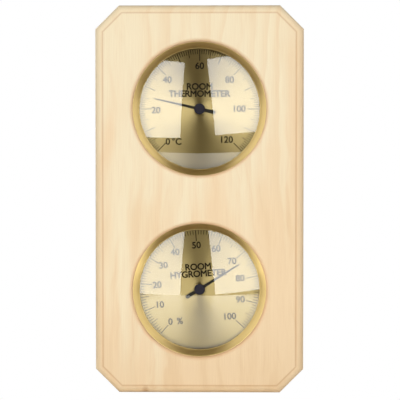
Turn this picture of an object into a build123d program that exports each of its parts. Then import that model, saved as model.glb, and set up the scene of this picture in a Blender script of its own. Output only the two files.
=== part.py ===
"""Wall-hung sauna climate station: a dial thermometer over a dial hygrometer in one pine board.

Millimetres. X is right, Z is up, and the dials face -Y. The wall plane is Y = 0, with the origin at the
centre of the board's back. Depths are measured from the board's front face towards the wall.
"""

from build123d import *
from math import asin, degrees, sqrt
import os

# ---------------------------------------------------------------- board
board_thickness = 30.0
side_margin = 17.5              # wood beside each gauge's pocket
end_margin = 16.75              # wood above and below the pockets
pocket_web = 17.5               # wood between the two pockets
corner_clip = 15.5              # taken off each corner, along each side
edge_round = 4.9                # radius of the moulded front edge
quirk_width = 0.6               # flat between the round and the raised face
quirk_depth = 0.7
rear_ease = 0.8                 # chamfer round the back
opening_radius = 44.0           # the wood round each dial
opening_round = 2.6
ledge_thickness = 5.5           # wood in front of each gauge's flange
pocket_gap = 0.6                # round each flange, in its pocket
channel_depth = 5.0             # rear air channels
link_channel_width = 8.0
link_channel_offset = 18.0
lower_channel_width = 16.0

# ---------------------------------------------------------------- hanger
hanger_length = 40.0
hanger_height = 13.0
hanger_thickness = 1.2
hanger_edge = 1.8               # wood between the plate and the board's top
hanger_screw_spacing = 29.0
hanger_screw_radius = 1.5
hanger_screw_length = 12.0
hanger_head_radius = 2.9
hanger_cross_width = 0.7
hanger_cross_length = 3.4
hanger_cross_depth = 0.8
hanger_fit = 0.1                # round the plate, in its recess
keyhole_radius = 3.6
keyhole_slot_radius = 1.8
keyhole_rise = 4.6              # from the entry's centre to the slot's top centre
keyhole_pocket_depth = 9.0
keyhole_pocket_margin = 1.0

# ---------------------------------------------------------------- case and window
bezel_width = 4.2               # the gold slope, seen from the front
bezel_depth = 3.3               # how far that slope goes in
bezel_bulge = 0.10              # crown of the slope
bezel_sheet = 0.6
lip_width = 0.8
bezel_back_step = 0.3           # the slope's back starts this far outside the opening
flange_width = 6.4              # outside the opening
case_sheet = 0.8
case_gap = 0.6                  # between the opening's radius and the case's inner wall
shoulder_width = 3.4            # step on which the dial sits
wall_gap = 4.0                  # between the case and the wall
case_screw_count = 3
case_screw_radius = 1.1
case_screw_head_radius = 2.0
case_screw_head = 1.3
case_screw_cover = 1.9          # wood left in front of each screw's point
screw_point = 1.5               # a wood screw's point, in radii
case_screw_clearance = 0.1
case_screw_edge = 0.3           # between the heads and the flange's edge
case_screw_head_round = 0.5
case_cross_width = 0.5
case_cross_length = 2.2
case_cross_depth = 0.7
lens_radius_of_curve = 190.0
lens_thickness = 1.8
lens_gap = 0.3                  # round the lens, in the case
gasket_width = 2.6
gasket_thickness = 1.0
dial_thickness = 0.6
vent_count = 12
vent_width = 4.0
vent_inner_radius = 15.0
vent_margin = 5.0               # between the vents and the case's wall

# ---------------------------------------------------------------- movement
staff_radius = 0.6
running_gap = 0.05              # radial, in the bush and the spindle
end_gap = 0.2                   # along the staff, between turning pieces
bush_wall = 1.0
bush_flange_radius = 2.6
bush_flange = 0.6
bush_tail = 1.0                 # behind the dial
pillar_radius = 2.0
pillar_gap = 1.2                # between the pillars and the calibration arm's tip
bridge_sheet = 1.0
bridge_margin = 3.4             # beyond the pillars' centres
bridge_half_width = 6.5
bridge_screw_radius = 0.9
bridge_screw_length = 4.5
bridge_screw_head_radius = 1.8
bridge_screw_head = 1.0
bridge_screw_clearance = 0.1
bridge_slot_width = 0.5
bridge_slot_depth = 0.5
head_space = 0.5                # between those heads and the case's back
washer_thickness = 0.5
washer_outer_radius = 4.4
spindle_radius = 2.0
spindle_head_radius = 3.2
spindle_stand = 0.4             # how far the slotted head stands out of the case
spindle_slot_width = 1.0
spindle_slot_depth = 1.2
spindle_hole_gap = 0.5          # round the head, in the case's back
staff_tail = 1.5                # length of the staff inside the spindle
arm_sheet = 0.6
arm_half_width = 2.2
arm_hub_radius = 4.0
arm_post_radius = 1.1
stop_radius = 9.0               # where the stop pin and its curved slot are
stop_pin_radius = 0.6
stop_pin_gap = 0.15
calibration_swing = 20.0        # degrees, each way
coil_gap = 0.5                  # in front of and behind the coil
coil_inner_radius = 3.1
coil_pitch = 1.8
coil_turns = 6
coil_strip = 0.3
collet_radius = 2.3
collet_slot_gap = 0.06

# ---------------------------------------------------------------- pointer
pointer_thickness = 0.3
pointer_clearance = 8.6         # between the tip and the window's edge
pointer_root_width = 2.1
pointer_tip_width = 0.5
pointer_ring_radius = 2.9
tail_length = 10.6
tail_root_width = 2.0
tail_end_width = 2.7
tail_corner = 1.2
dial_to_pointer = 2.0
hub_radius = 3.6
hub_height = 1.6
hub_edge = 0.35
hub_boss_radius = 1.5
hub_staff_depth = 1.1

# ---------------------------------------------------------------- radii that follow
window_radius = opening_radius - bezel_width
flange_radius = opening_radius + flange_width
pocket_radius = flange_radius + pocket_gap
case_inner_radius = opening_radius + case_gap
case_outer_radius = case_inner_radius + case_sheet
rear_inner_radius = case_inner_radius - shoulder_width
rear_outer_radius = rear_inner_radius + case_sheet
case_screw_circle = flange_radius - case_screw_head_radius - case_screw_edge
lens_radius = case_inner_radius - lens_gap
bush_radius = staff_radius + running_gap + bush_wall
coil_outer_radius = coil_inner_radius + coil_turns * coil_pitch
post_circle = coil_outer_radius + coil_strip / 2 + arm_post_radius
arm_reach = post_circle + arm_post_radius
pillar_circle = arm_reach + pillar_gap + pillar_radius

# ---------------------------------------------------------------- the board round its gauges
gauge_spacing = 2 * pocket_radius + pocket_web
board_width = 2 * (pocket_radius + side_margin)
board_height = gauge_spacing + 2 * (pocket_radius + end_margin)
hanger_z = board_height / 2 - hanger_edge - hanger_height / 2
keyhole_shift = (keyhole_radius - keyhole_slot_radius) / 2

# turn: the gauge's roll in its pocket. reading: the pointer's angle. Both are in degrees, clockwise from
# the front; the pointer's is counted from straight down.
gauges = {
    "thermometer": {"height": gauge_spacing / 2, "turn": 0.0, "reading": 102.9},
    "hygrometer": {"height": -gauge_spacing / 2, "turn": -4.0, "reading": 238.0},
}

# ---------------------------------------------------------------- depths that follow
lip_depth = ledge_thickness + bezel_depth + bezel_sheet
inner_curve = lens_radius_of_curve - lens_thickness


def sphere_drop(curve: float, radius: float) -> float:
    """How far a dome of radius `curve` falls back at `radius` from its axis."""
    return curve - sqrt(curve**2 - radius**2)


lens_apex = lip_depth - sphere_drop(lens_radius_of_curve, window_radius)
gasket_inner_radius = lens_radius - gasket_width
lens_back_inner = lens_apex + lens_thickness + sphere_drop(inner_curve, gasket_inner_radius)
lens_back_outer = lens_apex + lens_thickness + sphere_drop(inner_curve, lens_radius)
dial_front = lens_back_outer + gasket_thickness
dial_back = dial_front + dial_thickness
case_back = board_thickness - wall_gap
case_floor = case_back - case_sheet
bridge_back = case_floor - head_space - bridge_screw_head
bridge_front = bridge_back - bridge_sheet
arm_back = bridge_front - washer_thickness
arm_front = arm_back - arm_sheet
coil_back = arm_front - coil_gap
coil_front = dial_back + bush_tail + coil_gap
pointer_back = dial_front - dial_to_pointer
pointer_front = pointer_back - pointer_thickness
hub_front = pointer_front - hub_height
staff_front = pointer_front - hub_staff_depth
staff_back = arm_front + staff_tail


def at_depth(depth: float) -> float:
    """The Y of a depth behind the board's front face."""
    return depth - board_thickness


def turned(*points: tuple[float, float]) -> Part:
    """A solid of revolution about the gauge's axis, from (radius, depth) corners."""
    outline = Polyline(*[(radius, at_depth(depth)) for radius, depth in points], close=True)
    return revolve(make_face(outline), axis=Axis.Y)


def disc(radius: float, front: float, back: float) -> Part:
    """A cylinder on the gauge's axis between two depths."""
    return turned((0, front), (radius, front), (radius, back), (0, back))


def ring(inner: float, outer: float, front: float, back: float) -> Part:
    """A tube on the gauge's axis between two depths."""
    return turned((inner, front), (outer, front), (outer, back), (inner, back))


def slab(profile: Sketch, front: float, back: float) -> Part:
    """A flat profile in X and Z, given thickness between two depths."""
    return extrude(Plane.XZ.offset(-at_depth(back)) * profile, amount=back - front)


def around(piece: Part, angle: float) -> Part:
    """A piece turned clockwise, seen from the front, about the gauge's axis."""
    return Rot(0, angle, 0) * piece


def cross_recess(width: float, length: float, depth: float, back: float) -> Part:
    """The cross in a screw's head, cut forwards from `back`."""
    return slab(Rectangle(width, length) + Rectangle(length, width), back - depth, back)


def off_axis(piece: Part, x: float, z: float = 0.0) -> Part:
    """A piece made on the axis, moved to x, z."""
    return Pos(x, 0, z) * piece


# ---------------------------------------------------------------- board and hanger
def clipped_rectangle(inset: float) -> Sketch:
    """The board's outline with its four corners clipped, moved in by `inset`."""
    half_width = board_width / 2 - inset
    half_height = board_height / 2 - inset
    clip = corner_clip - inset * (2 - sqrt(2))
    corner = [(half_width - clip, half_height), (half_width, half_height - clip)]
    right = corner + [(x, -z) for x, z in reversed(corner)]
    left = [(-x, z) for x, z in reversed(right)]
    return make_face(Polyline(*right, *left, close=True))


def keyhole_profile(grow: float) -> Sketch:
    """Entry circle below, slot above, made larger by `grow`, their whole height centred on the plate."""
    entry = Pos(0, -keyhole_rise / 2) * Circle(keyhole_radius + grow)
    top = Pos(0, keyhole_rise / 2) * Circle(keyhole_slot_radius + grow)
    neck = Rectangle(2 * (keyhole_slot_radius + grow), keyhole_rise)
    return Pos(0, keyhole_shift) * (entry + neck + top)


def at_hanger_screws(piece: Part) -> Part:
    """Two copies of a piece, at the hanger's screws."""
    half = hanger_screw_spacing / 2
    return off_axis(piece, -half, hanger_z) + off_axis(piece, half, hanger_z)


def hanger_screw_profile() -> list[tuple[float, float]]:
    """Half outline of a countersunk screw, its head flush with the board's back."""
    back = board_thickness
    taper = hanger_head_radius - hanger_screw_radius
    tip = back - hanger_screw_length
    return [
        (0, back),
        (hanger_head_radius, back),
        (hanger_screw_radius, back - taper),
        (hanger_screw_radius, tip + screw_point * hanger_screw_radius),
        (0, tip),
    ]


def make_hanger() -> dict[str, Part]:
    """The keyhole plate and its two screws."""
    back = board_thickness
    plate = slab(SlotOverall(hanger_length, hanger_height), back - hanger_thickness, back)
    plate -= slab(keyhole_profile(0), back - hanger_thickness, back)
    plate = off_axis(plate, 0, hanger_z)
    screw = turned(*hanger_screw_profile())
    plate -= at_hanger_screws(screw)
    screw -= cross_recess(hanger_cross_width, hanger_cross_length, hanger_cross_depth, back)
    return {"hanger_plate": plate, "hanger_screws": at_hanger_screws(screw)}


def case_screw_angles(turn: float) -> list[float]:
    """Where a gauge's fixing screws are."""
    return [turn + 360 / case_screw_count * n for n in range(case_screw_count)]


def case_screw_profile() -> list[tuple[float, float]]:
    """Half outline of the part of a fixing screw that is in the wood."""
    root, tip = ledge_thickness, case_screw_cover
    shoulder = tip + screw_point * case_screw_radius
    return [(0, root), (case_screw_radius, root), (case_screw_radius, shoulder), (0, tip)]


def make_board() -> Part:
    """The board: moulded edge, stepped bores, air channels and the hanger's recess."""
    body = slab(clipped_rectangle(0), quirk_depth, board_thickness)
    front = body.faces().sort_by(Axis.Y)[0]
    body = fillet(front.edges(), edge_round)
    back = body.faces().sort_by(Axis.Y)[-1]
    body = chamfer(back.edges(), rear_ease)
    body += slab(clipped_rectangle(edge_round + quirk_width), 0, quirk_depth)
    for gauge in gauges.values():
        body -= off_axis(disc(opening_radius, 0, board_thickness), 0, gauge["height"])
        body -= off_axis(disc(pocket_radius, ledge_thickness, board_thickness), 0, gauge["height"])
    rims = body.edges().filter_by(GeomType.CIRCLE).filter_by(
        lambda edge: abs(edge.radius - opening_radius) < 1e-3 and abs(edge.center().Y - at_depth(0)) < 1e-3
    )
    body = fillet(rims, opening_round)
    channel_front = board_thickness - channel_depth
    lowest = gauges["hygrometer"]["height"]
    outlet = Pos(0, (lowest - board_height / 2) / 2) * Rectangle(
        lower_channel_width, lowest + board_height / 2
    )
    body -= slab(outlet, channel_front, board_thickness)
    for side in (-1, 1):
        link = Pos(side * link_channel_offset, 0) * Rectangle(link_channel_width, gauge_spacing)
        body -= slab(link, channel_front, board_thickness)
    for gauge in gauges.values():
        for angle in case_screw_angles(gauge["turn"]):
            pilot = off_axis(turned(*case_screw_profile()), 0, case_screw_circle)
            body -= off_axis(around(pilot, angle), 0, gauge["height"])
    recess = slab(
        SlotOverall(hanger_length + 2 * hanger_fit, hanger_height + 2 * hanger_fit),
        board_thickness - hanger_thickness,
        board_thickness,
    )
    head_room = slab(
        keyhole_profile(keyhole_pocket_margin), board_thickness - keyhole_pocket_depth, board_thickness
    )
    body -= off_axis(recess + head_room, 0, hanger_z)
    body -= at_hanger_screws(turned(*hanger_screw_profile()))
    return body


# ---------------------------------------------------------------- case and window
def flange_holes(front: float, back: float) -> Part:
    """The clearance holes for the fixing screws through one flange."""
    hole = off_axis(disc(case_screw_radius + case_screw_clearance, front, back), 0, case_screw_circle)
    return Part() + [around(hole, angle) for angle in case_screw_angles(0)]


def make_bezel() -> Part:
    """The spun ring: flat flange, crowned slope, and the lip that holds the lens."""
    slope = (bezel_width**2 + bezel_depth**2) ** 0.5
    crown = (-bezel_bulge * bezel_depth / slope, -bezel_bulge * bezel_width / slope)
    flange_front, flange_back = ledge_thickness, ledge_thickness + bezel_sheet

    def point(radius: float, depth: float) -> tuple[float, float]:
        return radius, at_depth(depth)

    def crowned(a: tuple[float, float], b: tuple[float, float]) -> Edge:
        middle = ((a[0] + b[0]) / 2 + crown[0], (a[1] + b[1]) / 2 + crown[1])
        return ThreePointArc(point(*a), point(*middle), point(*b))

    face_outer, face_inner = (opening_radius, flange_front), (window_radius, lip_depth - bezel_sheet)
    rear_inner = (window_radius + lip_width, lip_depth)
    rear_outer = (opening_radius + bezel_back_step, flange_back)
    outline = [
        Line(point(flange_radius, flange_front), point(*face_outer)),
        crowned(face_outer, face_inner),
        Polyline(point(*face_inner), point(window_radius, lip_depth), point(*rear_inner)),
        crowned(rear_inner, rear_outer),
        Polyline(
            point(*rear_outer), point(flange_radius, flange_back), point(flange_radius, flange_front)
        ),
    ]
    solid = revolve(make_face(Wire(Curve() + outline)), axis=Axis.Y)
    return solid - flange_holes(flange_front, flange_back)


def make_case() -> Part:
    """The stepped cup: flange, front wall, shoulder for the dial, rear wall, vented back."""
    flange_front = ledge_thickness + bezel_sheet
    flange_back = flange_front + case_sheet
    cup = turned(
        (case_inner_radius, flange_front),
        (flange_radius, flange_front),
        (flange_radius, flange_back),
        (case_outer_radius, flange_back),
        (case_outer_radius, dial_back + case_sheet),
        (rear_outer_radius, dial_back + case_sheet),
        (rear_outer_radius, case_back),
        (0, case_back),
        (0, case_floor),
        (rear_inner_radius, case_floor),
        (rear_inner_radius, dial_back),
        (case_inner_radius, dial_back),
    )
    cup -= flange_holes(flange_front, flange_back)
    vent_length = rear_inner_radius - vent_margin - vent_inner_radius
    vent = Pos(vent_inner_radius + vent_length / 2, 0) * SlotOverall(vent_length, vent_width)
    for n in range(vent_count):
        cup -= around(slab(vent, case_floor, case_back), 360 / vent_count * (n + 0.5))
    cup -= disc(spindle_head_radius + spindle_hole_gap, case_floor, case_back)
    return cup


def make_case_screws() -> Part:
    """Three pan-head screws that hold the flanges against the ledge."""
    head_front = ledge_thickness + bezel_sheet + case_sheet
    shank = turned(*case_screw_profile()) + disc(case_screw_radius, ledge_thickness, head_front)
    head_back = head_front + case_screw_head
    head = disc(case_screw_head_radius, head_front, head_back)
    head = fillet(head.faces().sort_by(Axis.Y)[-1].edges(), case_screw_head_round)
    head -= cross_recess(case_cross_width, case_cross_length, case_cross_depth, head_back)
    screw = off_axis(shank + head, 0, case_screw_circle)
    return Part() + [around(screw, angle) for angle in case_screw_angles(0)]


def make_lens() -> Part:
    """A domed glass of even thickness."""
    front_rim = lens_apex + sphere_drop(lens_radius_of_curve, lens_radius)
    half = lens_radius / 2

    def dome(apex: float, curve: float) -> Edge:
        return ThreePointArc(
            (0, at_depth(apex)),
            (half, at_depth(apex + sphere_drop(curve, half))),
            (lens_radius, at_depth(apex + sphere_drop(curve, lens_radius))),
        )

    outline = [
        dome(lens_apex, lens_radius_of_curve),
        Line((lens_radius, at_depth(front_rim)), (lens_radius, at_depth(lens_back_outer))),
        dome(lens_apex + lens_thickness, inner_curve),
        Line((0, at_depth(lens_apex + lens_thickness)), (0, at_depth(lens_apex))),
    ]
    return revolve(make_face(Wire(Curve() + outline)), axis=Axis.Y)


def make_window() -> dict[str, Part]:
    """Everything of a gauge that doesn't turn and isn't part of the movement."""
    gasket = turned(
        (gasket_inner_radius, lens_back_inner),
        (lens_radius, lens_back_outer),
        (lens_radius, dial_front),
        (gasket_inner_radius, dial_front),
    )
    return {
        "case": make_case(),
        "case_screws": make_case_screws(),
        "bezel": make_bezel(),
        "lens": make_lens(),
        "lens_gasket": gasket,
        "dial": ring(bush_radius, lens_radius, dial_front, dial_back),
    }


# ---------------------------------------------------------------- movement that doesn't turn
def at_pillars(piece: Part) -> Part:
    """Two copies of a piece, at the pillars."""
    return off_axis(piece, -pillar_circle) + off_axis(piece, pillar_circle)


def stop_slot() -> Sketch:
    """The curved slot in the bridge that limits the calibration arm."""
    half_width = stop_pin_radius + stop_pin_gap
    spare = degrees(asin(stop_pin_gap / stop_radius))
    sweep = calibration_swing + spare
    path = CenterArc((0, 0), stop_radius, -sweep, 2 * sweep)
    ends = [Pos(path @ t) * Circle(half_width) for t in (0, 1)]
    outer = CenterArc((0, 0), stop_radius + half_width, -sweep, 2 * sweep)
    inner = CenterArc((0, 0), stop_radius - half_width, -sweep, 2 * sweep)
    band = make_face(Wire([outer, Line(outer @ 1, inner @ 1), inner, Line(inner @ 0, outer @ 0)]))
    return band + ends[0] + ends[1]


def make_bridge() -> Part:
    """The rear plate: round ends over the pillars, spindle hole, stop slot."""
    length = 2 * (pillar_circle + bridge_margin)
    outline = SlotOverall(length, 2 * bridge_half_width) + Circle(stop_radius + bridge_margin)
    plate = slab(outline, bridge_front, bridge_back)
    plate -= disc(spindle_radius + running_gap, bridge_front, bridge_back)
    plate -= at_pillars(disc(bridge_screw_radius + bridge_screw_clearance, bridge_front, bridge_back))
    plate -= slab(stop_slot(), bridge_front, bridge_back)
    return plate


def make_bridge_screws() -> Part:
    """Two slotted screws into the pillars."""
    head_back = bridge_back + bridge_screw_head
    screw = disc(bridge_screw_radius, head_back - bridge_screw_length, bridge_back)
    screw += disc(bridge_screw_head_radius, bridge_back, head_back)
    slot = Rectangle(3 * bridge_screw_head_radius, bridge_slot_width)
    screw -= slab(slot, head_back - bridge_slot_depth, head_back)
    return at_pillars(screw)


def make_fixed_movement() -> dict[str, Part]:
    """Bush, pillars, bridge and the washer that holds the calibration arm still."""
    bore = staff_radius + running_gap
    bush = ring(bore, bush_radius, dial_front - bush_flange, dial_back + bush_tail)
    bush += ring(bore, bush_flange_radius, dial_front - bush_flange, dial_front)
    tapped = disc(bridge_screw_radius, bridge_back + bridge_screw_head - bridge_screw_length, bridge_front)
    pillar = disc(pillar_radius, dial_back, bridge_front) - tapped
    return {
        "front_bush": bush,
        "pillars": at_pillars(pillar),
        "bridge": make_bridge(),
        "bridge_screws": make_bridge_screws(),
        "friction_washer": ring(
            spindle_radius + running_gap, washer_outer_radius, arm_back, bridge_front
        ),
    }


# ---------------------------------------------------------------- calibration arm and coil
def make_spindle() -> Part:
    """The slotted spindle: rear bearing of the staff inside, screwdriver slot outside."""
    head_front = bridge_back + running_gap
    head_back = case_back + spindle_stand
    spindle = disc(spindle_radius, arm_front, head_front) + disc(spindle_head_radius, head_front, head_back)
    spindle -= disc(staff_radius + running_gap, arm_front, staff_back + end_gap)
    spindle -= slab(
        Rectangle(3 * spindle_head_radius, spindle_slot_width), head_back - spindle_slot_depth, head_back
    )
    return spindle


def coil_leg(start: float, end: float, width: float, front: float, back: float) -> Part:
    """A straight radial stretch of strip, from one radius to another."""
    return slab(Pos((start + end) / 2, 0) * Rectangle(end - start, width), front, back)


def make_arm() -> Part:
    """The arm on the spindle, with the post for the coil's outer end and its stop pin."""
    strip = Pos(post_circle / 2, 0) * Rectangle(post_circle, 2 * arm_half_width)
    outline = Circle(arm_hub_radius) + strip + Pos(post_circle, 0) * Circle(arm_post_radius)
    arm = slab(outline, arm_front, arm_back)
    arm -= disc(spindle_radius, arm_front, arm_back)
    arm += off_axis(disc(arm_post_radius, coil_front, arm_front), post_circle)
    arm += off_axis(disc(stop_pin_radius, arm_back, bridge_back), stop_radius)
    arm -= coil_leg(coil_outer_radius, arm_reach, coil_strip, coil_front, coil_back)
    return arm


def make_coil() -> Part:
    """The spiral strip: half circles about two centres, so that it grows one pitch a turn."""
    half = coil_strip / 2

    def half_turn(n: int, offset: float) -> Edge:
        centre = coil_pitch / 2 if n % 2 else 0.0
        radius = coil_inner_radius + n * coil_pitch / 2 + offset
        side = -1 if n % 2 else 1
        start, end = (centre + side * radius, 0), (centre - side * radius, 0)
        return ThreePointArc(start, (centre, side * radius), end)

    halves = range(2 * coil_turns)
    outer = [half_turn(n, half) for n in halves]
    inner = [half_turn(n, -half) for n in halves]
    ends = [Line(outer[0] @ 0, inner[0] @ 0), Line(outer[-1] @ 1, inner[-1] @ 1)]
    spiral = slab(make_face(Wire(outer + inner + ends)), coil_front, coil_back)
    inner_leg = coil_leg(coil_leg_root(), coil_inner_radius, coil_strip, coil_front, coil_back)
    outer_leg = coil_leg(coil_outer_radius, arm_reach, coil_strip, coil_front, coil_back)
    return spiral + inner_leg + outer_leg


def coil_leg_root() -> float:
    """How near the coil's inner leg comes to the staff."""
    return (staff_radius + collet_radius) / 2


def make_collet() -> Part:
    """The slotted sleeve that turns the staff."""
    front, back = coil_front - end_gap, arm_front - end_gap
    collet = ring(staff_radius, collet_radius, front, back)
    slot_width = coil_strip + 2 * collet_slot_gap
    return collet - coil_leg(coil_leg_root() - collet_slot_gap, collet_radius + 1, slot_width, front, back)


def make_regulator() -> dict[str, Part]:
    """What turns with the calibration spindle."""
    return {"calibration_spindle": make_spindle(), "calibration_arm": make_arm(), "coil": make_coil()}


# ---------------------------------------------------------------- pointer
def pointer_profile() -> Sketch:
    """Needle along +Z, tail along -Z, and the ring under the hub."""
    tip = window_radius - pointer_clearance
    needle = make_face(
        Polyline(
            (-pointer_root_width / 2, 0),
            (-pointer_tip_width / 2, tip),
            (pointer_tip_width / 2, tip),
            (pointer_root_width / 2, 0),
            close=True,
        )
    )
    tail = make_face(
        Polyline(
            (-tail_root_width / 2, 0),
            (-tail_end_width / 2, -tail_length),
            (tail_end_width / 2, -tail_length),
            (tail_root_width / 2, 0),
            close=True,
        )
    )
    tail = fillet(tail.vertices().sort_by(Axis.Y)[:2], tail_corner)
    return needle + tail + Circle(pointer_ring_radius)


def make_pointer() -> dict[str, Part]:
    """The staff and all that turns with it, the needle straight up."""
    pointer = slab(pointer_profile(), pointer_front, pointer_back)
    pointer -= disc(hub_boss_radius, pointer_front, pointer_back)
    hub = disc(hub_radius, hub_front, pointer_front)
    hub = fillet(hub.faces().sort_by(Axis.Y)[0].edges(), hub_edge)
    hub += disc(hub_boss_radius, pointer_front, pointer_back + end_gap)
    hub -= disc(staff_radius, staff_front, pointer_back + end_gap)
    return {
        "pointer": pointer,
        "pointer_hub": hub,
        "staff": disc(staff_radius, staff_front, staff_back),
        "coil_collet": make_collet(),
    }


# ---------------------------------------------------------------- assembly
def gauge_nodes(name: str, height: float, turn: float, reading: float) -> dict[str, Part]:
    """All pieces of one gauge, in place on the board."""
    pointer = make_pointer()
    turning = {
        "pointer": around(pointer["pointer"], reading + 180 - turn),
        "pointer_hub": pointer["pointer_hub"],
        "staff": pointer["staff"],
        "coil_collet": pointer["coil_collet"],
    }
    pieces = make_window() | make_fixed_movement() | make_regulator() | turning
    return {
        f"{name}_{piece}": off_axis(around(solid, turn), 0, height) for piece, solid in pieces.items()
    }


def main() -> None:
    """Builds every node and writes one STEP file for each."""
    nodes = {"board": make_board()} | make_hanger()
    for name, gauge in gauges.items():
        nodes |= gauge_nodes(name, **gauge)
    os.makedirs("parts", exist_ok=True)
    for name, solid in nodes.items():
        export_step(solid, f"parts/{name}.step")


main()
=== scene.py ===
"""Dresses the sauna climate station: pine board, gold rings, domed glass, printed dials and studio light.

Metres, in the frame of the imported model: X right, Z up, dials facing -Y, the wall plane at Y = 0.
"""

import logging
from collections.abc import Sequence
from dataclasses import dataclass, field
from enum import Enum
from math import pi, radians

import bmesh
import bpy
import numpy as np
from mathutils import Matrix, Vector


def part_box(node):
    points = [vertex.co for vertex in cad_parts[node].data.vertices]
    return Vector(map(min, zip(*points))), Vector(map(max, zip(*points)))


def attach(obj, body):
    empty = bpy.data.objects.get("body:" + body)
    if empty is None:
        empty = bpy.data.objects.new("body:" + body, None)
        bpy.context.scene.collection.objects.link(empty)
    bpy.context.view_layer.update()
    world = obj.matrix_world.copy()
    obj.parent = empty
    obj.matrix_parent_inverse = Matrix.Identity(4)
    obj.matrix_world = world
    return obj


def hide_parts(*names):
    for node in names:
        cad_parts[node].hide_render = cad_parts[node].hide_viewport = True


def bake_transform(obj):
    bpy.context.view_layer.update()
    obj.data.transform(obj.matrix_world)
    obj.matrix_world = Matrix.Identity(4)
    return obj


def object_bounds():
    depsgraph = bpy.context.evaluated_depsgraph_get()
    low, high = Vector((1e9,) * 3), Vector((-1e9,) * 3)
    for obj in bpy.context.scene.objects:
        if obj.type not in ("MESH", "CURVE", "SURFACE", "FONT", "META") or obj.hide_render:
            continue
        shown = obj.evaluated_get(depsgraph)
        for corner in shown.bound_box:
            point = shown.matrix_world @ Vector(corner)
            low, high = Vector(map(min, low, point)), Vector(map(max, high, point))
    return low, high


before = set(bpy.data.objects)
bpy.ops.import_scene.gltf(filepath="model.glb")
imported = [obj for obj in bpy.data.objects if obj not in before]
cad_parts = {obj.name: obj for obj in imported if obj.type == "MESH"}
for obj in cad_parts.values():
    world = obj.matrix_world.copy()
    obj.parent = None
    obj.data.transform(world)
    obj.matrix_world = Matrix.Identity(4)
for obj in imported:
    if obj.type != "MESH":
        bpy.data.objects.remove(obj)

log = logging.getLogger("climate_station")
MM = 0.001
CAD_LOW, CAD_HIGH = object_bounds()
Socket = bpy.types.NodeSocket
Triple = tuple[float, float, float]
Colour = Triple
WHITE: Colour = (1.0, 1.0, 1.0)
# The middles of the numerals and, last, of the unit, right of and above the dial's centre.
THERMOMETER_PLACES = (
    (-21.1, -21.5), (-29.0, -0.7), (-21.5, 19.4), (0.0, 28.6),
    (19.8, 19.4), (26.5, 0.2), (18.1, -20.2), (-15.2, -21.4),
)
HYGROMETER_PLACES = (
    (-20.9, -20.4), (-26.8, -8.6), (-28.0, 4.7), (-22.9, 17.4), (-14.6, 25.7), (-0.1, 29.3),
    (12.8, 26.1), (22.7, 17.1), (27.3, 5.4), (26.5, -8.8), (19.0, -19.5), (-14.6, -20.3),
)


def clear_default(name: str) -> None:
    """Removes a start-up object if the file has it."""
    if name in bpy.data.objects:
        bpy.data.objects.remove(bpy.data.objects[name])


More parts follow.
